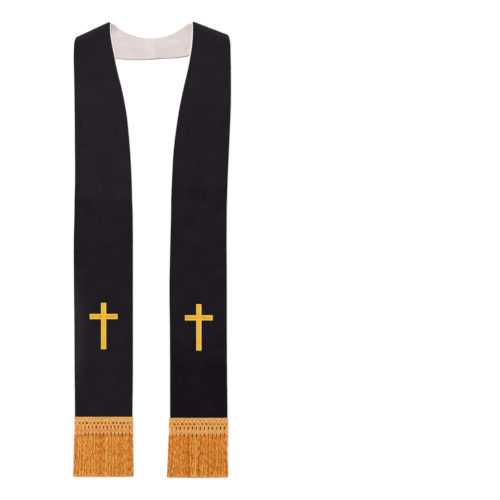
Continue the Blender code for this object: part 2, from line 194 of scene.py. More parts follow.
RIGHT = Half(
    name="right",
    neck=(0.0988, 0.5473),
    shoulder=(0.1848, 0.5144),
    flat=(0.147, 1.128),
    area=0.135,
    front=(
        Row(0.0435, -0.444, 0.1795, -0.444),
        *RIGHT_ROWS,
        Row(0.0929, 0.4695, 0.1877, 0.467),
        Row(0.0966, 0.498, 0.1871, 0.491),
        Row(0.0979, 0.522, 0.1855, 0.5035),
    ),
    back=(
        Row(0.086, 0.541, 0.1685, 0.5055),
        Row(0.074, 0.5325, 0.142, 0.4875),
        Row(0.0615, 0.5245, 0.116, 0.4725),
        Row(0.047, 0.5165, 0.088, 0.465),
        Row(0.03, 0.511, 0.056, 0.46),
        Row(0.0125, 0.5075, 0.0235, 0.4585),
        Row(CENTRE_SEAM_X + CENTRE_SEAM_GAP / 2, 0.507, CENTRE_SEAM_X + CENTRE_SEAM_GAP / 2, 0.4565),
    ),
    creases=(
        Crease(0.1125, 0.121, -0.015, 1.2, 18.0),
        Crease(0.127, 0.345, 0.04, 0.9, 24.0),
    ),
    ridges=(
        (0.112, 0.395, 58.0, 0.08, 0.013, 0.6),
        (0.148, 0.418, 66.0, 0.09, 0.014, 0.5),
        (0.169, 0.24, 92.0, 0.1, 0.014, 0.4),
        (0.085, 0.21, 105.0, 0.08, 0.013, 0.4),
        (0.12, 0.045, -6.0, 0.08, 0.012, 0.4),
        (0.162, -0.07, 86.0, 0.11, 0.012, 0.45),
        (0.07, -0.1, 93.0, 0.09, 0.013, 0.35),
        (0.156, -0.325, 97.0, 0.08, 0.012, 0.35),
        (0.072, -0.315, 82.0, 0.07, 0.012, 0.3),
    ),
    lining_ridges=(
        (0.0885, 0.529, 232.0, 0.05, 0.013, -0.6),
        (0.085, 0.533, 215.0, 0.024, 0.004, -0.7),
        (0.056, 0.5, 12.0, 0.06, 0.011, 0.3),
        (0.024, 0.479, -14.0, 0.05, 0.008, -0.3),
        (0.0815, 0.479, 66.0, 0.022, 0.004, -0.5),
        (0.0865, 0.476, 76.0, 0.018, 0.0032, 0.8),
    ),
    # Painted light and shade up the right front: darkest at the hem, paler towards the neck, a painted shade
    # band just above the packing crease, and a painted glow streak high up
    shades=(
        (-0.4, 0.04), (-0.28, 0.05), (-0.2, 0.26), (-0.1, 0.28), (0.0, 0.31), (0.1, 0.34),
        (0.112, 0.42), (0.118, 0.27), (0.15, 0.26), (0.157, 0.4), (0.32, 0.45), (0.45, 0.54),
    ),
    glows=((0.12, 0.41, 12.0, 0.13, 0.02, 0.12),),
    cross_x=0.1119,
    cross_top=-0.131,
    hem_y=-0.444,
    braid_inner=0.0402,
    braid_outer=0.1813,
    braid_repeats=14,
    braid_tucked=(1.0, 12.5),
    fringe_inner=0.0347,
    fringe_outer=0.1818,
    fringe_length=101.7 * MM,
    fringe_tone=0.0,
)


def ease(value):
    """0 below 0, 1 above 1, and a smooth rise between."""
    value = np.clip(value, 0.0, 1.0)
    return value * value * (3.0 - 2.0 * value)


def between(start, end, part):
    return start + (end - start) * part


def smooth_rows(rows, spacing):
    """Inner and outer edge points on smooth curves through the rows, about a spacing apart."""
    knots = np.array(rows, float)
    gaps = np.linalg.norm(np.diff(knots, axis=0), axis=1)
    places = np.concatenate([[0.0], np.cumsum(gaps)])
    last = len(knots) - 1
    low = np.maximum(np.arange(last + 1) - 1, 0)
    high = np.minimum(np.arange(last + 1) + 1, last)
    slopes = (knots[high] - knots[low]) / (places[high] - places[low])[:, None]
    middles = (knots[:, :2] + knots[:, 2:]) / 2.0
    points = []
    for index in range(last):
        steps = max(1, math.ceil(np.linalg.norm(middles[index + 1] - middles[index]) / spacing))
        part = (np.arange(steps) / steps)[:, None]
        bow = gaps[index] * part * (1.0 - part) * between(slopes[index], -slopes[index + 1], part)
        points.append(between(knots[index], knots[index + 1], ease(part)) + bow)
    points.append(knots[last:])
    return np.concatenate(points)


def ridge_height(ridges, x, y):
    """The summed height of soft ridges over points in plan."""
    height = np.zeros_like(x)
    for ridge in map(Ridge._make, ridges):
        heading = math.radians(ridge.heading)
        along = (x - ridge.x) * math.cos(heading) + (y - ridge.y) * math.sin(heading)
        beside = (y - ridge.y) * math.cos(heading) - (x - ridge.x) * math.sin(heading)
        fade = 1.0 - ease(np.abs(along) / (ridge.length / 2.0))
        height += ridge.height * fade * np.exp(-(beside / (ridge.width / 2.0)) ** 2)
    return height


class Panel:
    """One half of the stole as a folded sheet, from its hem to the centre-back seam."""

    def __init__(self, half):
        self.half = half
        neck = np.array(half.neck)
        shoulder = np.array(half.shoulder)
        along = (shoulder - neck) / np.linalg.norm(shoulder - neck)
        self.fold_out = np.array([-along[1], along[0]])
        if self.fold_out[1] < 0.0:
            self.fold_out = -self.fold_out
        inset = self.fold_out * (FOLD_INSIDE_RADIUS + STACK)
        self.axis_inner = neck - inset
        self.axis_outer = shoulder - inset
        self.back_start = self.axis_outer - along * SHOULDER_TAPER
        front_end = Row(*self.axis_inner, *self.axis_outer)
        back_start = Row(*self.axis_inner, *self.back_start)
        front = smooth_rows(half.front + (front_end,), FRONT_SPACING)
        back = smooth_rows((back_start,) + half.back, BACK_SPACING)
        turned = np.arange(1, FOLD_STEPS) / FOLD_STEPS
        fold = between(np.array(front_end), np.array(back_start), turned[:, None])
        edges = np.concatenate([front, fold, back])
        self.inner = edges[:, :2]
        self.outer = edges[:, 2:]
        self.turn = np.pi * np.concatenate([np.zeros(len(front)), turned, np.ones(len(back))])
        self.on_front = np.arange(len(edges)) < len(front)
        self.on_back = np.arange(len(edges)) >= len(front) + len(fold)
        self.width = np.linalg.norm(self.outer - self.inner, axis=1)
        middles = (self.inner + self.outer) / 2.0
        steps = np.linalg.norm(np.diff(middles, axis=0), axis=1)
        fold_steps = np.diff(self.turn) * (FOLD_INSIDE_RADIUS + STACK)
        self.along = np.concatenate([[0.0], np.cumsum(steps + fold_steps)])

    def back_edge_y(self, x):
        """The lower edge of the back piece, at x in plan."""
        corners = [tuple(self.back_start)] + [(row.outer_x, row.outer_y) for row in self.half.back]
        return np.interp(np.abs(x), *np.array(sorted((abs(x), y) for x, y in corners)).T)

    def from_fold(self, x, y):
        return (self.axis_inner[0] - x) * self.fold_out[0] + (self.axis_inner[1] - y) * self.fold_out[1]

    def lift(self, x, y):
        """The height of the front's underside: over the back piece, beside the turn and on its creases."""
        ledge = y - (self.back_edge_y(x) - LEDGE_MARGIN - LEDGE_SLOPE)
        height = REST_ON_BACK * ease(ledge / LEDGE_SLOPE)
        beside_turn = 1.0 - ease(self.from_fold(x, y) / FOLD_FADE)
        height = height + (2.0 * FOLD_INSIDE_RADIUS - SEAM_GAP) * beside_turn
        for crease in self.half.creases:
            crest_y = crease.y + crease.slope * (x - crease.middle_x)
            height = height + crease.height * MM * ease(1.0 - np.abs(y - crest_y) / (crease.half_width * MM))
        return height + ridge_height(self.half.ridges, x, y) * MM

    def points(self, from_inner, depth):
        """Points of the sheet at distances from its inner edge and depths from the lining's outer side."""
        part = (from_inner / self.width[:, None])[..., None]
        spot = self.inner[:, None] * (1.0 - part) + self.outer[:, None] * part
        reach = FOLD_INSIDE_RADIUS + depth
        turn = self.turn[:, None]
        axis_height = np.full(spot.shape[:2], FOLD_AXIS_HEIGHT)
        front = self.on_front
        axis_height[front] = self.lift(spot[front, :, 0], spot[front, :, 1]) - FOLD_INSIDE_RADIUS
        spot = spot + self.fold_out * (reach * np.sin(turn))[..., None]
        height = axis_height + reach * np.cos(turn)
        return np.concatenate([spot, height[..., None]], axis=2)


# Faces with four corners are smooth; the ends of threads and the cut ends of cloth are flat
QUAD = 4

# A point's tone, from 0 to 1, chooses its place between a material's darkest and lightest colour
MIDDLE_TONE = 0.5


def add_object(name, data):
    made = bpy.data.objects.new(name, data)
    bpy.context.scene.collection.objects.link(made)
    return made


class Heap:
    """Points and faces gathered from many forms, made into one mesh at the end."""

    def __init__(self):
        self.points = []
        self.tones = []
        self.faces = []
        self.face_uvs = []
        self.count = 0

    def add(self, points, face_groups, tones):
        """Add points, a tone for each, and groups of faces with the UVs of their corners."""
        points = points.reshape(-1, 3)
        self.points.append(points)
        self.tones.append(np.broadcast_to(tones, len(points)))
        for faces, uvs in face_groups:
            self.faces.append(faces + self.count)
            self.face_uvs.append(uvs)
        self.count += len(points)

    def make(self, kind, slot, side, materials):
        """One piece, such as face_cloth_left, in the place of a solid, such as face_left."""
        name = f"{kind}_{side}"
        points = np.concatenate(self.points)
        corners = np.concatenate([faces.ravel() for faces in self.faces])
        sizes = np.concatenate([np.full(len(faces), faces.shape[1]) for faces in self.faces])
        uvs = np.concatenate([uvs.reshape(-1, 2) for uvs in self.face_uvs])
        mesh = bpy.data.meshes.new(name)
        mesh.vertices.add(len(points))
        mesh.vertices.foreach_set("co", points.astype(np.float32).ravel())
        mesh.loops.add(len(corners))
        mesh.loops.foreach_set("vertex_index", corners.astype(np.int32))
        mesh.polygons.add(len(sizes))
        mesh.polygons.foreach_set("loop_start", (np.cumsum(sizes) - sizes).astype(np.int32))
        mesh.update(calc_edges=True)
        mesh.polygons.foreach_set("use_smooth", sizes == QUAD)
        layer = mesh.uv_layers.new(name="UVMap")
        layer.data.foreach_set("uv", uvs.astype(np.float32).ravel())
        tone = mesh.attributes.new("tone", "FLOAT", "POINT")
        tone.data.foreach_set("value", np.concatenate(self.tones).astype(np.float32))
        mesh.materials.append(materials[slot])
        made = add_object(name, mesh)
        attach(made, BODY)
        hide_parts(f"{slot}_{side}")
        return made


def grid_faces(rows, around):
    """Quads between rings of points; the last column joins the first."""
    row = np.arange(rows - 1)[:, None]
    column = np.arange(around)
    follower = (column + 1) % around
    return np.stack([
        row * around + column,
        (row + 1) * around + column,
        (row + 1) * around + follower,
        row * around + follower,
    ], axis=2).reshape(-1, 4)


def add_tubes(heap, paths, radii, sides, tones):
    """Closed tubes along paths (tubes, points, 3), with a tone for each tube or for each of its points."""
    count, length = paths.shape[:2]
    ahead = np.gradient(paths, axis=1)
    ahead /= np.linalg.norm(ahead, axis=2, keepdims=True)
    beside = np.cross(ahead, np.array([0.0, 0.0, 1.0]))
    beside /= np.linalg.norm(beside, axis=2, keepdims=True)
    over = np.cross(beside, ahead)
    angles = math.tau * (np.arange(sides) + 0.5) / sides
    ring = beside[:, :, None] * np.cos(angles)[:, None] + over[:, :, None] * np.sin(angles)[:, None]
    points = paths[:, :, None] + ring * np.broadcast_to(radii, (count, length))[:, :, None, None]
    travelled = np.zeros((count, length))
    travelled[:, 1:] = np.cumsum(np.linalg.norm(np.diff(paths, axis=1), axis=2), axis=1)

    tube = (np.arange(count) * length * sides)[:, None, None]
    quads = (tube + grid_faces(length, sides)).reshape(-1, 4)
    side = np.arange(sides)
    turned = np.stack([side, side, side + 1, side + 1], axis=1) / sides
    near = travelled[:, :-1, None]
    far = travelled[:, 1:, None]
    run = np.stack([near, far, far, near], axis=3)
    quad_uvs = np.stack(np.broadcast_arrays(turned, run), axis=4).reshape(-1, 4, 2)

    groups = [(quads, quad_uvs)]
    for start, order in ((0, side), ((length - 1) * sides, side[::-1])):
        groups.append((tube[:, 0] + start + order, np.zeros((count, sides, 2))))
    tones = np.asarray(tones, float)
    if tones.ndim < 2:
        tones = tones.reshape(-1, 1)
    heap.add(points, groups, np.broadcast_to(tones[..., None], points.shape[:3]).ravel())


def cloth_wall(panel, low, high, inner_inset, outer_inset, relief, tone):
    """A closed wall of cloth with rolled edges, as a heap; relief and tone say how its surface varies."""
    radius = (high - low) / 2.0
    middle = (high + low) / 2.0
    start = (inner_inset + radius)[:, None]
    end = (panel.width - outer_inset - radius)[:, None]
    crossing = start + (end - start) * np.linspace(0.0, 1.0, CELLS_ACROSS + 1)
    angles = np.pi * np.arange(1, EDGE_STEPS) / EDGE_STEPS
    from_inner = np.concatenate([
        crossing,
        end + radius * np.sin(angles),
        crossing[:, ::-1],
        start - radius * np.sin(angles),
    ], axis=1)
    flat = np.zeros(CELLS_ACROSS + 1)
    depth = middle + radius * np.concatenate([flat + 1.0, np.cos(angles), flat - 1.0, -np.cos(angles)])
    points = relief(panel, from_inner, depth)
    rows, around = from_inner.shape
    quads = grid_faces(rows, around)
    along = np.broadcast_to(panel.along[:, None], from_inner.shape)
    uvs = np.stack([from_inner, along], axis=2).reshape(-1, 2)
    first = np.arange(around)
    last = first[::-1] + (rows - 1) * around
    if panel.outer[0, 0] > panel.inner[0, 0]:
        quads, first, last = quads[:, ::-1], first[::-1], last[::-1]
    caps = [(ring[None], uvs[ring][None]) for ring in (first, last)]
    heap = Heap()
    heap.add(points, [(quads, uvs[quads])] + caps, tone(panel, points).ravel())
    return heap


# The face: a turning folded in along each edge lifts the cloth there, and the cloth is never quite even
FACE_INSET = -0.5 * MM
TURNING_WIDTH = 9.0 * MM
TURNING_FADE = 2.5 * MM
TURNING_HEIGHT = 0.22 * MM
UNEVEN_HEIGHT = 0.10 * MM
# A painted highlight along the shoulder's fold: how much it lightens the face, and how far from the fold it
# fades
FOLD_PAINTED_HIGHLIGHT = 0.5
FOLD_PAINTED_HIGHLIGHT_WIDTH = 12.0 * MM


def unevenness(x, y):
    """Slow small waves in cloth that was pressed and handled, between -1 and 1."""
    return (
        np.sin(97.0 * x + 31.0 * y) * np.sin(43.0 * y - 17.0 * x)
        + np.sin(61.0 * y + 53.0 * x + 1.3) * 0.6
    ) / 1.6


def face_relief(panel, from_inner, depth):
    """The face's raised turnings and unevenness, on the fronts and dying away round the turn."""
    from_edge = np.minimum(from_inner, panel.width[:, None] - from_inner)
    turning = TURNING_HEIGHT * (1.0 - ease((from_edge - TURNING_WIDTH) / TURNING_FADE))
    outside = ease((depth - (STACK - FACE_THICKNESS / 2.0)) / (FACE_THICKNESS / 2.0))
    outside = outside * (1.0 - panel.turn / np.pi)[:, None]
    plan = panel.points(from_inner, np.full(from_inner.shape, STACK))
    uneven = UNEVEN_HEIGHT * unevenness(plan[..., 0], plan[..., 1])
    return panel.points(from_inner, depth + outside * (turning + uneven))


def face_painted_light(panel, points):
    """Painted light and shade: paler near the neck, a painted highlight along the shoulder's fold, painted
    glow streaks, and a painted shade step at the packing crease.
    """
    x, y, _ = np.moveaxis(points, 2, 0)
    places, tones = np.array(panel.half.shades).T
    # A painted highlight along the shoulder's fold
    fold = FOLD_PAINTED_HIGHLIGHT * (1.0 - ease(panel.from_fold(x, y) / FOLD_PAINTED_HIGHLIGHT_WIDTH))
    return np.interp(y, places, tones) + ridge_height(panel.half.glows, x, y) + fold


def lining_relief(panel, from_inner, depth):
    """The lining's creases and pressed seam turnings show where it faces up, behind the neck."""
    points = panel.points(from_inner, np.broadcast_to(depth, from_inner.shape))
    x = points[panel.on_back, :, 0]
    y = points[panel.on_back, :, 1]
    from_seam = np.abs(x - CENTRE_SEAM_X)
    turning = SEAM_TURNING_HEIGHT * ease((SEAM_TURNING - from_seam) / SEAM_TURNING_FADE)
    crease = ridge_height(panel.half.lining_ridges, x, y) * MM
    points[panel.on_back, :, 2] += np.maximum(turning + crease, -SEAM_GAP * 0.8)
    return points


def lining_tone_and_painted_light(panel, points):
    """Lighter where it is doubled over the seam turnings; lightest where it rolls out along the fronts, a
    painted highlight; painted shade in crease troughs and painted light on crease ridges.
    """
    x, y, _ = np.moveaxis(points, 2, 0)
    doubled = ease((SEAM_TURNING - np.abs(x - CENTRE_SEAM_X)) / SEAM_TURNING_FADE) * SEAM_TURNING_TONE
    # Painted shade in the crease troughs, painted light on the crease ridges
    back = MIDDLE_TONE + doubled + ridge_height(panel.half.lining_ridges, x, y) / CREASE_PAINTED_SHADE
    # A painted highlight on the lining's front part, which shows where it rolls out
    rolled = 1.0 - ease((panel.turn - np.pi / 2.0) * 2.0)[:, None]
    return between(back, 1.0, rolled)


def lining_inner_insets(panel):
    """How far the lining stops short of the face on the neck side, or rolls out past it."""
    rolled = ease((panel.inner[:, 1] - ROLL_STARTS_Y) / (ROLL_IS_FULL_Y - ROLL_STARTS_Y))
    front = between(LINING_INSET, LINING_ROLL, rolled)
    turned = between(LINING_ROLL, LINING_AT_NECKLINE, panel.turn / np.pi)
    return np.where(panel.on_front, front, turned)


def lining_outer_insets(panel):
    """How far the lining stops short of the outer edge; behind the neck it wanders, and shows the face."""
    x = panel.outer[:, 0]
    shown = LINING_SHOWS_FACE * (0.6 + 0.4 * np.cos(WANDER_PER_METRE * (x - CENTRE_SEAM_X)))
    return np.where(panel.on_back, np.where(x < CENTRE_SEAM_X, shown * 0.4, shown), LINING_INSET)


def make_cloth(slot, heap, panel, materials):
    made = heap.make(slot + "_cloth", slot, panel.half.name, materials)
    made.data.set_sharp_from_angle(angle=CUT_END_ANGLE)
    return made


def make_face(panel, materials):
    insets = np.full((2, len(panel.width)), FACE_INSET)
    heap = cloth_wall(panel, STACK - FACE_THICKNESS, STACK, *insets, face_relief, face_painted_light)
    return make_cloth("face", heap, panel, materials)


def make_lining(panel, materials):
    insets = (lining_inner_insets(panel), lining_outer_insets(panel))
    heap = cloth_wall(panel, 0.0, LINING_THICKNESS, *insets, lining_relief, lining_tone_and_painted_light)
    return make_cloth("lining", heap, panel, materials)


# The embroidered cross: a satin border with mitred corners round a lower filling, over a thin pad
CROSS_WIDTH = 67.2 * MM
CROSS_HEIGHT = 111.6 * MM
CROSS_BAR = 12.8 * MM
CROSS_ARM_BELOW_TOP = 33.0 * MM
SATIN_INSET = 0.3 * MM
SATIN_WIDTH = 2.7 * MM
SATIN_PITCH = 0.34 * MM
SATIN_THREAD = 0.21 * MM
SATIN_POINTS = 6
SATIN_UNEVEN = 0.03 * MM
# The border's threads take the lightest tones: a painted highlight on the raised satin border
SATIN_HIGHLIGHT_TONES = (0.85, 1.0)
SHORTEST_STITCH = 0.5 * MM
SATIN_PROFILE = ((0.0, 0.1), (0.5, 0.62), (1.0, 0.98), (1.7, 0.98), (2.3, 0.74), (2.8, 0.45))
PAD_RINGS = ((0.1, 0.0), (0.3, 0.25), (1.0, 0.7), (1.7, 0.7), (2.6, 0.32))
FILLING_HEIGHT = 0.50 * MM
FILLING_PITCH = 0.37 * MM
FILLING_THREAD = 0.20 * MM
FILLING_STITCH = 3.6 * MM
FILLING_WAVE = 0.09 * MM
FILLING_STEP = 0.9 * MM
FILLING_MARGIN = 2.4 * MM
# The filling's tones sit below the border's as painted shade on the lower filling, and the arms' below the
# upright's as painted shade for how light falls along their threads
UPRIGHT_TONE = 0.62
ARMS_TONE = 0.44
FILLING_TONE_VARIES = 0.15
PAD_TONE = 0.3
CROSS_SIDES = 5


def cross_outline(inset):
    """The twelve corners of the Latin cross, moved in from its edge, about the middle of its top."""
    bar = CROSS_BAR / 2.0 - inset
    arm = CROSS_WIDTH / 2.0 - inset
    top = -inset
    foot = inset - CROSS_HEIGHT
    arm_top = bar - CROSS_ARM_BELOW_TOP
    arm_foot = -bar - CROSS_ARM_BELOW_TOP
    left = np.array([
        (-bar, top), (-bar, arm_top), (-arm, arm_top), (-arm, arm_foot), (-bar, arm_foot), (-bar, foot)])
    return np.concatenate([left, left[::-1] * (-1.0, 1.0)])


def satin_stitches():
    """Starts, directions and lengths of the border's stitches, from the outline inwards."""
    corners = cross_outline(SATIN_INSET)
    ahead = np.roll(corners, -1, axis=0) - corners
    lengths = np.linalg.norm(ahead, axis=1)
    ahead = ahead / lengths[:, None]
    inwards = np.stack([-ahead[:, 1], ahead[:, 0]], axis=1)
    convex = np.cross(np.roll(ahead, 1, axis=0), ahead) > 0.0
    stitches = []
    for index in range(len(corners)):
        follower = (index + 1) % len(corners)
        places = np.arange(SATIN_PITCH / 2.0, lengths[index], SATIN_PITCH)
        reach = np.full(len(places), SATIN_WIDTH)
        if convex[index]:
            reach = np.minimum(reach, places)
        if convex[follower]:
            reach = np.minimum(reach, lengths[index] - places)
        starts = corners[index] + ahead[index] * places[:, None]
        stitches.append((starts, np.tile(inwards[index], (len(places), 1)), reach))
        if not convex[index]:
            steps = round(SATIN_WIDTH * np.pi / 2.0 / SATIN_PITCH)
            angle = np.linspace(0.0, np.pi / 2.0, steps + 2)[1:-1, None]
            fan = inwards[index - 1] * np.cos(angle) + inwards[index] * np.sin(angle)
            stitches.append((np.tile(corners[index], (steps, 1)), fan, np.full(steps, SATIN_WIDTH)))
    starts, headings, reaches = (np.concatenate(parts) for parts in zip(*stitches))
    kept = reaches > SHORTEST_STITCH
    return starts[kept], headings[kept], reaches[kept]


def add_satin(heap, place, draws):
    starts, headings, reaches = satin_stitches()
    along = reaches[:, None] * np.linspace(0.0, 1.0, SATIN_POINTS)
    spots = starts[:, None] + headings[:, None] * along[..., None]
    profile = np.array(SATIN_PROFILE) * MM
    height = np.interp(along, profile[:, 0], profile[:, 1])
    height += draws.uniform(-SATIN_UNEVEN, SATIN_UNEVEN, (len(starts), 1))
    paths = np.concatenate([spots, height[..., None]], axis=2)
    # Border threads near the lightest colour, as a painted highlight
    add_tubes(heap, place(paths), SATIN_THREAD, CROSS_SIDES, draws.uniform(*SATIN_HIGHLIGHT_TONES, len(starts)))


def add_filling(heap, place, draws):
    """Rows of short stitches along the middle of the upright and of the arms."""
    half_bar = CROSS_BAR / 2.0 - FILLING_MARGIN
    rows = np.arange(-half_bar, half_bar + FILLING_PITCH / 2.0, FILLING_PITCH)
    half_arms = CROSS_WIDTH / 2.0 - FILLING_MARGIN
    upright = (-FILLING_MARGIN, FILLING_MARGIN - CROSS_HEIGHT, FILLING_HEIGHT, UPRIGHT_TONE)
    arms = (-half_arms, half_arms, FILLING_HEIGHT - FILLING_WAVE, ARMS_TONE)
    for start, end, level, tone in (upright, arms):
        run = np.linspace(start, end, round(abs(end - start) / FILLING_STEP))
        phase = np.arange(len(rows))[:, None] / 3.0
        height = level + FILLING_WAVE * np.abs(np.sin(np.pi * (run / FILLING_STITCH + phase)))
        side, run, height = np.broadcast_arrays(rows[:, None], run, height)
        x, y = (side, run) if start == -FILLING_MARGIN else (run, side - CROSS_ARM_BELOW_TOP)
        paths = np.stack([x, y, height], axis=2)
        tones = tone + draws.uniform(-FILLING_TONE_VARIES, FILLING_TONE_VARIES, len(rows))
        add_tubes(heap, place(paths), FILLING_THREAD, CROSS_SIDES, tones)


def add_pad(heap, place):
    """The padding under the threads, so that no cloth shows between them."""
    rings = [[(x, y, height * MM) for x, y in cross_outline(inset * MM)] for inset, height in PAD_RINGS]
    points = place(np.array(rings))
    around = points.shape[1]
    quads = grid_faces(len(rings), around)[:, ::-1]
    first = np.arange(around)[None, ::-1]
    last = np.arange(around)[None] + (len(rings) - 1) * around
    groups = [(faces, np.zeros((*faces.shape, 2))) for faces in (quads, first, last)]
    heap.add(points, groups, PAD_TONE)


def make_cross(panel, materials, draws):
    half = panel.half

    def place(local):
        x = half.cross_x + local[..., 0]
        y = half.cross_top + local[..., 1]
        height = panel.lift(x, y) + STACK + SEAM_GAP + local[..., 2]
        return np.stack([x, y, height], axis=-1)

    heap = Heap()
    add_pad(heap, place)
    add_filling(heap, place, draws)
    add_satin(heap, place, draws)
    return heap.make("cross_stitches", "cross", half.name, materials)


# The braid: bands of cord down its height. All its sizes are in millimetres, downwards from its top edge
BRAID_ABOVE_HEM = 39.5
BRAID_MARGIN = 3.0
END_ROLL = 1.6
END_HEIGHT = 0.3
PLY_STEP = 0.5
CORD_SIDES = 6
Rope = namedtuple("Rope", "down radius height")
ROPES = (
    Rope(18.4, 0.95, 1.1),
    Rope(20.3, 0.95, 1.05),
    Rope(30.1, 0.95, 1.05),
    Rope(32.1, 1.05, 1.2),
    Rope(34.1, 1.05, 1.25),
    Rope(36.1, 1.05, 1.15),
)
ROPE_TURN = 3.6

# Each ply's distance from the rope's middle and its own radius, as shares of the rope's radius
PLY_OFFSET = 0.5
PLY_RADIUS = 0.56
PLY_TONES = (0.6, 0.95)
ROPE_DRIFT = 0.12
ROPE_DRIFT_LENGTH = 11.0

# Close cords of the upper band; those with a push part round the topmost holes, which lie over the posts
Ground = namedtuple("Ground", "down push tone")
GROUND = (
    (2.2, 0.0, 0.92),
    (3.9, 0.0, 0.66),
    (5.6, 0.0, 0.6),
    (7.3, 0.0, 0.84),
    (9.0, 0.0, 0.78),
    (10.7, -0.6, 0.62),
    (12.4, -1.5, 0.62),
    (14.0, -2.8, 0.66),
    (15.5, 2.0, 0.66),
    (16.9, 0.7, 0.75),
)
PARTING_WIDTH = 2.0
GROUND_RADIUS = 0.82
GROUND_WAVE = 0.40
GROUND_HEIGHT = 0.62
GROUND_RISE = 0.18
GROUND_POINTS = 16
MARK_DRIFT = 0.6
MARK_OPENS = (0.3, 1.5)
PICOT_RADIUS = 0.68
PICOT_PITCH = 4.7
PICOT_REACH = 0.8
PICOT_RISE = 0.25

# Two pairs of cords that run up and down over the upper band, at the posts and at the holes between them
Zigzag = namedtuple("Zigzag", "at_posts at_holes height tone")
ZIGZAGS = (
    Zigzag(9.0, 3.4, 0.85, 0.72),
    Zigzag(5.6, 15.9, 1.65, 1.05),
)
ZIGZAG_RADIUS = 0.58
ZIGZAG_SPREAD = 1.2

# Upright cords in posts, bowed round the holes between them; a hole is a share of the step between posts
Posts = namedtuple("Posts", "top foot hole")
POST_ROWS = (
    Posts(20.6, 30.0, 0.34),
    Posts(36.4, 41.3, 0.31),
)
CORDS_IN_POST = 4
POST_RADIUS = 0.80
POST_HEIGHT = 0.85
POST_BOW = 0.25
POST_UNEVEN = 0.08
POST_TONES = (0.65, 1.0)
POST_POINTS = 9

# Cords seen behind the holes, painted dark there as shade inside the holes, and where the braid's end is
# turned under and fills them
Band = namedtuple("Band", "top foot height tone tone_at_posts")
BACK_BANDS = (
    Band(11.5, 27.0, 0.6, 0.04, 0.04),
    Band(27.0, 37.4, 0.6, 0.34, 0.34),
    Band(37.6, 41.8, 0.6, 0.04, 0.04),
    Band(41.8, 44.1, 0.6, 0.14, 0.6),
)
TUCKED_BANDS = (
    Band(21.4, 29.6, 1.1, 0.5, 0.5),
    Band(37.6, 41.6, 1.1, 0.5, 0.5),
    Band(42.1, 44.1, 1.0, 0.44, 0.44),
)
BACK_PITCH = 1.15
BACK_RADIUS = 0.60
BACK_STEP = 2.4


class BraidPlace:
    """Turns places on the braid, in millimetres along, down and up, into the object's metres."""

    def __init__(self, half):
        self.half = half
        self.length = abs(half.braid_outer - half.braid_inner) / MM
        self.repeat = (self.length - 2.0 * BRAID_MARGIN) / half.braid_repeats
        self.posts = BRAID_MARGIN + np.arange(half.braid_repeats + 1) * self.repeat
        self.run = np.linspace(0.0, self.length, half.braid_repeats * GROUND_POINTS)
        self.top = half.hem_y + BRAID_ABOVE_HEM * MM

    def __call__(self, along, down, up):
        x = between(self.half.braid_inner, self.half.braid_outer, along / self.length)
        y = self.top - down * MM
        from_end = np.minimum(along, self.length - along)
        height = STACK + SEAM_GAP + up * MM * between(END_HEIGHT, 1.0, ease(from_end / END_ROLL))
        return np.stack(np.broadcast_arrays(x, y, height), axis=-1)

    def swing(self, along):
        """1 at the posts and 0 at the middle of each hole, in straight lines with eased bends."""
        turns = (along - BRAID_MARGIN) / self.repeat
        straight = np.abs(2.0 * (turns - np.floor(turns)) - 1.0)
        return between(straight, ease(straight), 0.5)


def add_rope(heap, place, rope, draws):
    """Two plies twisted round each other."""
    along = np.linspace(0.0, place.length, round(place.length / PLY_STEP))
    drift = ROPE_DRIFT * np.sin(along / ROPE_DRIFT_LENGTH + rope.down)
    for ply in range(2):
        turn = math.tau * along / ROPE_TURN + np.pi * ply
        down = rope.down + drift + rope.radius * PLY_OFFSET * np.cos(turn)
        up = rope.height + rope.radius * PLY_OFFSET * np.sin(turn)
        path = place(along, down, up)[None]
        add_tubes(heap, path, rope.radius * PLY_RADIUS * MM, CORD_SIDES, draws.uniform(*PLY_TONES))


def add_ground(heap, place, draws):
    along = place.run
    marks = place.posts + draws.uniform(-MARK_DRIFT, MARK_DRIFT, len(place.posts))
    nearest = np.abs(along[:, None] - marks).argmin(axis=1)
    opened = draws.uniform(*MARK_OPENS, len(marks))
    opened[[0, -1]] = 0.0
    opened = opened[nearest]
    parting = opened * np.exp(-((along - marks[nearest]) / PARTING_WIDTH) ** 2)
    for order, cord in enumerate(map(Ground._make, GROUND)):
        wave = 2.0 * math.tau * along / place.repeat + np.pi * order
        ripple = GROUND_WAVE * np.sin(wave) * (1.0 - parting * (cord.push != 0.0))
        down = cord.down + cord.push * parting + ripple
        path = place(along, down, GROUND_HEIGHT + GROUND_RISE * np.cos(wave))
        add_tubes(heap, path[None], GROUND_RADIUS * MM, CORD_SIDES, cord.tone + draws.uniform(-0.1, 0.1))
    wave = math.tau * along / PICOT_PITCH
    path = place(along, PICOT_REACH * (1.0 + np.cos(wave)), GROUND_HEIGHT + PICOT_RISE * np.sin(wave))
    add_tubes(heap, path[None], PICOT_RADIUS * MM, 5, 1.0)


def add_zigzags(heap, place, draws):
    along = place.run
    swing = place.swing(along)
    for zigzag in ZIGZAGS:
        for side in (-0.5, 0.5):
            down = between(zigzag.at_holes, zigzag.at_posts, swing) + side * ZIGZAG_SPREAD
            path = place(along, down, zigzag.height + 0.15 * np.cos(math.tau * swing))
            tone = zigzag.tone + draws.uniform(-0.1, 0.05)
            add_tubes(heap, path[None], ZIGZAG_RADIUS * MM, CORD_SIDES, tone)


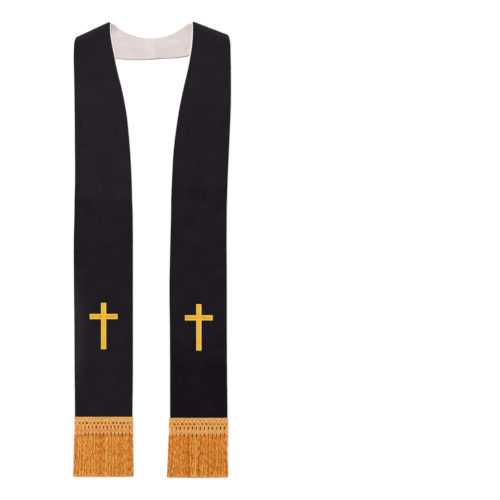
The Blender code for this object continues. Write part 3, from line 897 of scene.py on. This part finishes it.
def add_posts(heap, place, posts, draws):
    part = np.linspace(0.0, 1.0, POST_POINTS)
    down = between(posts.top, posts.foot, part)
    half_post = place.repeat * (1.0 - posts.hole) / 2.0 - POST_RADIUS
    gathered = 1.0 + 0.5 * (1.0 - np.sin(np.pi * part)) * posts.hole
    for cord in range(CORDS_IN_POST):
        side = (2.0 * cord / (CORDS_IN_POST - 1) - 1.0) * half_post * gathered
        along = np.clip(place.posts[:, None] + side, POST_RADIUS, place.length - POST_RADIUS)
        uneven = draws.uniform(-POST_UNEVEN, POST_UNEVEN, (len(place.posts), 1))
        up = POST_HEIGHT + POST_BOW * np.sin(np.pi * part) + uneven
        tones = draws.uniform(*POST_TONES, len(place.posts))
        add_tubes(heap, place(along, down, up), POST_RADIUS * MM, CORD_SIDES, tones)


def add_back_cords(heap, place, draws):
    for bands, ends in ((BACK_BANDS, (0.0, place.length)), (TUCKED_BANDS, place.half.braid_tucked)):
        along = np.linspace(*ends, round((ends[1] - ends[0]) / BACK_STEP))
        wave = 0.25 * np.sin(along * 1.7)
        at_post = ease((place.swing(along) - 0.25) * 4.0)
        for band in bands:
            for down in np.arange(band.top, band.foot, BACK_PITCH):
                path = place(along, down + wave, band.height)
                # Dark at the holes as painted shade, paler where the posts hide them
                tone = between(band.tone, band.tone_at_posts, at_post) + draws.uniform(0.0, 0.1)
                add_tubes(heap, path[None], BACK_RADIUS * MM, 5, tone[None])


def make_braid(half, materials, draws):
    place = BraidPlace(half)
    heap = Heap()
    add_back_cords(heap, place, draws)
    add_ground(heap, place, draws)
    add_zigzags(heap, place, draws)
    for rope in ROPES:
        add_rope(heap, place, rope, draws)
    for posts in POST_ROWS:
        add_posts(heap, place, posts, draws)
    return heap.make("braid_cords", "braid", half.name, materials)


# The fringe: crimped threads from a woven strip, an even layer under and loose wisps and locks over it
Layer = namedtuple("Layer", "threads points sides radius lowest highest root loose crossing tone")
# The under layer's lower tone is painted shade between the upper locks
LAYERS = (
    Layer(236, 14, 5, 0.62 * MM, 0.75 * MM, 1.25 * MM, 0.9 * MM, 0.25, 0.0, 0.36),
    Layer(460, 35, 4, 0.54 * MM, 1.50 * MM, 3.00 * MM, 2.1 * MM, 1.0, 0.15, 0.54),
)
FRINGE_UNEVEN = 2.0 * MM
FRINGE_ROUNDED = 0.8 * MM
FRINGE_SWAY = 1.0 * MM
EDGE_SLACK = 0.4 * MM
ROOT_FLARE = 0.2
WISPS = 90
LOCKS = 31
WISP_PULL = 0.40
LOCK_PULL = 0.10
GATHER = 0.24
GATHER_FADES = 7.0
CROSSING_DRIFT = 9.0 * MM
LEANING_DRIFT = 2.2 * MM
STRIP_HEIGHT = 4.0 * MM
STRIP_PICKS = 4
SWAY_WAVES = 2.7
SWAY_TURNS = 1.3
SLOW_WAVES = (3.0, 6.2)
SLOW_REACH = (0.25 * MM, 1.0 * MM)
CRIMPS = (6.0, 9.5)
CRIMP_REACH = (0.15 * MM, 0.45 * MM)
CRIMP_HEIGHT = 0.25 * MM
THREAD_VARIES = (0.85, 1.1)
STRIP_POINTS = 60
STRIP_PICK = 0.6 * MM
STRIP_TONE = 0.3


def shared(groups, draws, low=0.0, high=1.0):
    """Random values as a column, the same for all the threads of a group."""
    return draws.uniform(low, high, groups.max() + 1)[groups][:, None]


def to_middle(place, groups):
    """How far places across the fringe, from 0 to 1, are from the middle of their group."""
    return (np.floor(place * groups) + 0.5) / groups - place


def fringe_paths(half, layer, draws):
    """The paths of one layer's threads, and a tone at each of their points."""
    outwards = math.copysign(1.0, half.braid_outer)
    thread = np.arange(layer.threads)
    place = (thread + draws.uniform(0.2, 0.8, layer.threads)) / layer.threads
    wisp = np.floor(place * WISPS).astype(int)
    by_thread = partial(shared, thread, draws)
    by_wisp = partial(shared, wisp, draws)
    place = place[:, None]
    down = np.linspace(0.0, 1.0, layer.points)[None]
    margin = outwards * layer.radius

    # Gathered between the posts of the braid at the root, in wisps and locks below it
    root_x = between(half.braid_inner, half.braid_outer, place)
    tip_x = between(half.fringe_inner + margin, half.fringe_outer - margin, place)
    root_x = between(root_x, tip_x, ROOT_FLARE)
    posts = half.braid_inner + outwards * BraidPlace(half).posts * MM
    nearest = posts[np.abs(root_x - posts).argmin(axis=1)][:, None]
    gather = (nearest - root_x) * GATHER * (1.0 - ease(down * GATHER_FADES))
    pull = to_middle(place, WISPS) * WISP_PULL + to_middle(place, LOCKS) * LOCK_PULL
    pull = pull * (half.braid_outer - half.braid_inner) * ease(down * 2.0)

    # Some wisps on top cross the others, and all lean a little towards their tips; all are crimped
    crossing = by_wisp() < layer.crossing
    drift = crossing * by_wisp(-1.0, 1.0) * CROSSING_DRIFT * down ** by_wisp(1.0, 3.0)
    lean = by_wisp(-1.0, 1.0) * LEANING_DRIFT * down ** 3
    sway = FRINGE_SWAY * np.sin(math.tau * SWAY_WAVES * place) * np.sin(SWAY_TURNS * np.pi * down)
    slow_phase = math.tau * (by_wisp(*SLOW_WAVES) * down + by_wisp())
    crimp_phase = math.tau * (by_wisp(*CRIMPS) * down + by_thread())
    waves = by_wisp(*SLOW_REACH) * np.sin(slow_phase)
    waves = waves + by_thread(*CRIMP_REACH) * np.sin(crimp_phase)
    x = between(root_x, tip_x, down) + sway + drift
    x = x + layer.loose * (gather + pull + lean + waves * ease(down * 5.0))
    inner_edge = between(root_x[0], tip_x[0], down) * outwards - EDGE_SLACK
    outer_edge = between(root_x[-1], tip_x[-1], down) * outwards + EDGE_SLACK
    x = np.clip(x * outwards, inner_edge, outer_edge) * outwards

    length = half.fringe_length - by_thread() ** 2 * FRINGE_UNEVEN
    length = length - FRINGE_ROUNDED * np.abs(2.0 * place - 1.0) ** 4
    y = half.hem_y - SEAM_GAP - STRIP_HEIGHT / 2.0 - length * down

    level = np.where(crossing, 1.0, between(by_wisp(), by_thread(), 0.5))
    height = between(layer.lowest, layer.highest, level) + layer.loose * CRIMP_HEIGHT * np.cos(crimp_phase)
    height = between(layer.root, height, ease(down * 10.0))

    # Each wisp and thread has its own tone, tips are paler, and tone rises a little towards the tips. Painted
    # light and shade:
    # higher threads and the crossing wisps on top are paler, crimp crests carry a painted highlight, and
    # roots are painted darker as shade under the braid
    varied = by_wisp(-0.11, 0.11) + 0.13 * np.sin(slow_phase + by_wisp(0.0, 6.0))
    varied = varied + by_thread() ** 2 * 0.42 - 0.14
    varied = varied + 0.15 * (level - 0.5) + 0.10 * np.cos(crimp_phase)
    tone = layer.tone + layer.loose * varied + 0.12 * crossing + half.fringe_tone
    tone = tone + 0.25 * ease((down - 0.94) / 0.05) - 0.08 * (1.0 - ease(down * 9.0)) + 0.07 * (down - 0.5)
    return np.stack(np.broadcast_arrays(x, y, height), axis=2), np.clip(tone, 0.0, 1.0)


def make_fringe(half, materials, draws):
    heap = Heap()
    for layer in LAYERS:
        paths, tones = fringe_paths(half, layer, draws)
        radii = layer.radius * draws.uniform(*THREAD_VARIES, (layer.threads, 1))
        add_tubes(heap, paths, radii, layer.sides, tones)
    top = half.hem_y - SEAM_GAP
    along = np.linspace(half.braid_inner, half.braid_outer, STRIP_POINTS)
    picks = np.linspace(top - 0.5 * MM, top - STRIP_HEIGHT + 0.5 * MM, STRIP_PICKS)
    strip = np.stack(np.broadcast_arrays(along[None], picks[:, None], LAYERS[0].root), axis=2)
    add_tubes(heap, strip, STRIP_PICK, 6, STRIP_TONE)
    return heap.make("fringe_threads", "fringe", half.name, materials)


# A mix node's sockets for the part and the two colours, by number, because several share a name
MIX_INPUTS = (0, 6, 7)
MIX_OUTPUT = 2


class Nodes:
    """A material's node tree, with short ways to add and join nodes."""

    def __init__(self, name, roughness, specular):
        self.material = bpy.data.materials.new(name)
        self.material.use_nodes = True
        self.tree = self.material.node_tree
        self.shader = self.tree.nodes["Principled BSDF"]
        self.shade("Roughness", roughness)
        self.shade("Specular IOR Level", specular)

    def feed(self, node, socket, value):
        """Set a socket to a value, or join an output to it."""
        if isinstance(value, bpy.types.NodeSocket):
            self.tree.links.new(value, node.inputs[socket])
        else:
            node.inputs[socket].default_value = value

    def shade(self, socket, value):
        self.feed(self.shader, socket, value)

    def add(self, kind, *inputs, **settings):
        """Add a node; each of the inputs is a socket with what it takes."""
        node = self.tree.nodes.new(kind)
        for setting, value in settings.items():
            setattr(node, setting, value)
        for socket, value in inputs:
            self.feed(node, socket, value)
        return node

    def uv(self):
        """The UV place, and its two parts: across or round, and along."""
        uv = self.add("ShaderNodeTexCoord").outputs["UV"]
        split = self.add("ShaderNodeSeparateXYZ", (0, uv))
        return uv, split.outputs[0], split.outputs[1]

    def maths(self, operation, *values):
        return self.add("ShaderNodeMath", *enumerate(values), operation=operation).outputs[0]

    def wave(self, place, pitch):
        return self.maths("SINE", self.maths("MULTIPLY", place, math.tau / pitch))

    def range(self, *values):
        """A value mapped from one range to another, and held inside it."""
        return self.add("ShaderNodeMapRange", *enumerate(values)).outputs[0]

    def noise(self, place, scale, detail):
        inputs = (("Vector", place), ("Scale", scale), ("Detail", detail))
        return self.add("ShaderNodeTexNoise", *inputs).outputs[0]

    def patches(self, noise, size):
        """Patches of tone, up to a size either way."""
        return self.range(noise, 0.3, 0.7, -size, size)

    def mix(self, *values):
        return self.add("ShaderNodeMix", *zip(MIX_INPUTS, values), data_type="RGBA").outputs[MIX_OUTPUT]

    def bump(self, height, distance, strength):
        inputs = (("Height", height), ("Distance", distance), ("Strength", strength))
        self.shade("Normal", self.add("ShaderNodeBump", *inputs).outputs[0])

    def tone(self):
        return self.add("ShaderNodeAttribute", attribute_name="tone").outputs["Fac"]

    def three_colours(self, tone, low, middle, high):
        lower = self.range(tone, 0.0, MIDDLE_TONE, 0.0, 1.0)
        upper = self.range(tone, MIDDLE_TONE, 1.0, 0.0, 1.0)
        colour = self.mix(lower, linear(low), linear(middle))
        self.shade("Base Color", self.mix(upper, colour, linear(high)))


def linear(colour):
    """A screen colour, 0 to 255, as the linear colour that shaders take."""
    shares = [value / 255.0 for value in colour]
    return *(part / 12.92 if part <= 0.04045 else ((part + 0.055) / 1.055) ** 2.4 for part in shares), 1.0


# The cloths' weave: threads' spacing, in metres, and how high they stand
TWILL_PITCH = 0.62 * MM
TWILL_HEIGHT = 0.10 * MM
PLAIN_PITCH = 0.55 * MM
PLAIN_HEIGHT = 0.07 * MM
BLACK_DARKEST = (17, 10, 18)
BLACK_PALEST = (41, 36, 42)
# The lining's colours from darkest to lightest; the darkest is neared in its painted crease shade, and the
# lightest is the painted highlight on the roll
LINING_COLOURS = ((186, 174, 160), (221, 208, 207), (255, 253, 247))


def face_material():
    """Black wool-like twill: fine slanting ribs, slightly uneven in tone, with a dull bloom."""
    nodes = Nodes("black_twill", roughness=0.85, specular=0.08)
    uv, across, along = nodes.uv()
    rib = nodes.wave(nodes.maths("ADD", across, along), TWILL_PITCH)
    grain = nodes.noise(uv, 900.0, 2.0)
    nodes.bump(nodes.maths("ADD", nodes.maths("MULTIPLY", rib, 0.35), grain), TWILL_HEIGHT, 0.7)
    slubs = nodes.patches(nodes.noise(uv, 110.0, 4.0), 0.08)
    clouds = nodes.patches(nodes.noise(uv, 24.0, 4.0), 0.12)
    # The tone attribute brings the face's painted light and shade; slubs and clouds add the cloth's own
    # uneven tone
    tone = nodes.maths("ADD", nodes.tone(), nodes.maths("ADD", slubs, clouds))
    part = nodes.range(tone, 0.0, 1.0, 0.0, 1.0)
    nodes.shade("Base Color", nodes.mix(part, linear(BLACK_DARKEST), linear(BLACK_PALEST)))
    nodes.shade("Sheen Weight", 0.02)
    nodes.shade("Sheen Roughness", 0.6)
    return nodes.material


def lining_material():
    """Off-white plain cotton lining with a faint crossed weave; creamier where it is lightest."""
    nodes = Nodes("white_lining", roughness=0.7, specular=0.25)
    uv, across, along = nodes.uv()
    weave = nodes.maths("MULTIPLY", nodes.wave(across, PLAIN_PITCH), nodes.wave(along, PLAIN_PITCH))
    cloud = nodes.noise(uv, 22.0, 4.0)
    height = nodes.maths("ADD", nodes.maths("MULTIPLY", weave, 0.3), nodes.maths("MULTIPLY", cloud, 1.5))
    nodes.bump(height, PLAIN_HEIGHT, 0.6)
    nodes.three_colours(nodes.maths("ADD", nodes.tone(), nodes.patches(cloud, 0.05)), *LINING_COLOURS)
    return nodes.material


# Threads: colours from darkest to lightest, pitch and height of the twist in millimetres, gloss, and how
# finely and how much the colour fades in patches
Thread = namedtuple("Thread", "slot low middle high pitch height roughness specular fading_scale fading")
THREADS = (
    Thread("cross", (226, 150, 2), (255, 191, 22), (255, 226, 98), 0.9, 0.03, 0.42, 0.4, 60.0, 0.10),
    Thread("braid", (80, 12, 0), (239, 142, 55), (255, 208, 127), 1.4, 0.12, 0.55, 0.08, 200.0, 0.20),
    Thread("fringe", (133, 58, 0), (237, 133, 23), (255, 201, 105), 1.6, 0.12, 0.5, 0.2, 240.0, 0.18),
)


def thread_material(thread):
    """Twisted shiny thread; each strand has its own tone, and fades in patches along its length."""
    nodes = Nodes("gold_thread_" + thread.slot, thread.roughness, thread.specular)
    _, turned, along = nodes.uv()
    turns = nodes.maths("DIVIDE", along, thread.pitch * MM)
    twist = nodes.wave(nodes.maths("ADD", nodes.maths("MULTIPLY", turned, 2.0), turns), 1.0)
    nodes.bump(twist, thread.height * MM, 0.5)
    place = nodes.add("ShaderNodeTexCoord").outputs["Object"]
    faded = nodes.patches(nodes.noise(place, thread.fading_scale, 3.0), thread.fading)
    # The tone attribute brings each strand's own tone along with the painted highlights and shade set for the
    # cross, the braid and the fringe
    tone = nodes.maths("ADD", nodes.tone(), faded)
    nodes.three_colours(tone, thread.low, thread.middle, thread.high)
    return nodes.material


def make_materials():
    materials = {thread.slot: thread_material(thread) for thread in THREADS}
    return materials | {"face": face_material(), "lining": lining_material()}


# The studio: a lit white table, an even white sky and one large soft light from the upper left
WHITE = (1.0, 1.0, 1.0, 1.0)
FLOOR_COLOUR = (0.93, 0.93, 0.93, 1.0)
FLOOR_GLOW = 0.22
FLOOR_SIZE = 8.0
FLOOR_BELOW = 0.05 * MM
SKY_STRENGTH = 0.72
LIGHT_SIZE = 2.4
LIGHT_POWER = 100.0
LIGHT_PLACE = (-2.2, 2.6, 3.8)
FRAME_WIDTH = 1.2
FRAME_CENTRE_X = 0.2346
FRAME_CENTRE_Y = -0.0011
CLOTH_TOP = 4.0 * MM
SENSOR_WIDTH = 36.0
LENS = 180.0


def make_floor():
    bpy.ops.mesh.primitive_plane_add(size=FLOOR_SIZE, location=(0.0, 0.0, -FLOOR_BELOW))
    floor = bpy.context.object
    floor.name = "floor"
    nodes = Nodes("plain_white_floor", roughness=0.9, specular=0.0)
    nodes.shade("Base Color", FLOOR_COLOUR)
    nodes.shade("Emission Color", WHITE)
    nodes.shade("Emission Strength", FLOOR_GLOW)
    floor.data.materials.append(nodes.material)


def make_lights():
    world = bpy.data.worlds.new("pale_studio")
    world.use_nodes = True
    sky = world.node_tree.nodes["Background"]
    sky.inputs["Color"].default_value = WHITE
    sky.inputs["Strength"].default_value = SKY_STRENGTH
    bpy.context.scene.world = world
    data = bpy.data.lights.new("soft_light", "AREA")
    data.shape = "SQUARE"
    data.size = LIGHT_SIZE
    data.energy = LIGHT_POWER
    light = add_object("soft_light", data)
    light.location = LIGHT_PLACE
    light.rotation_euler = (-light.location).to_track_quat("-Z", "Y").to_euler()


def make_camera():
    data = bpy.data.cameras.new("camera")
    data.sensor_width = SENSOR_WIDTH
    data.lens = LENS
    camera = add_object("camera", data)
    camera.location = (FRAME_CENTRE_X, FRAME_CENTRE_Y, CLOTH_TOP + FRAME_WIDTH * LENS / SENSOR_WIDTH)
    bpy.context.scene.camera = camera


def make_stole(materials):
    """Both halves, piece by piece."""
    for seed, half in enumerate((LEFT, RIGHT), start=1):
        draws = np.random.default_rng(seed)
        panel = Panel(half)
        lining = make_lining(panel, materials)
        face = make_face(panel, materials)
        trim = [
            make_cross(panel, materials, draws),
            make_braid(half, materials, draws),
            make_fringe(half, materials, draws),
        ]


make_camera()
bpy.context.scene.view_settings.view_transform = "Standard"
make_floor()
make_lights()
make_stole(make_materials())
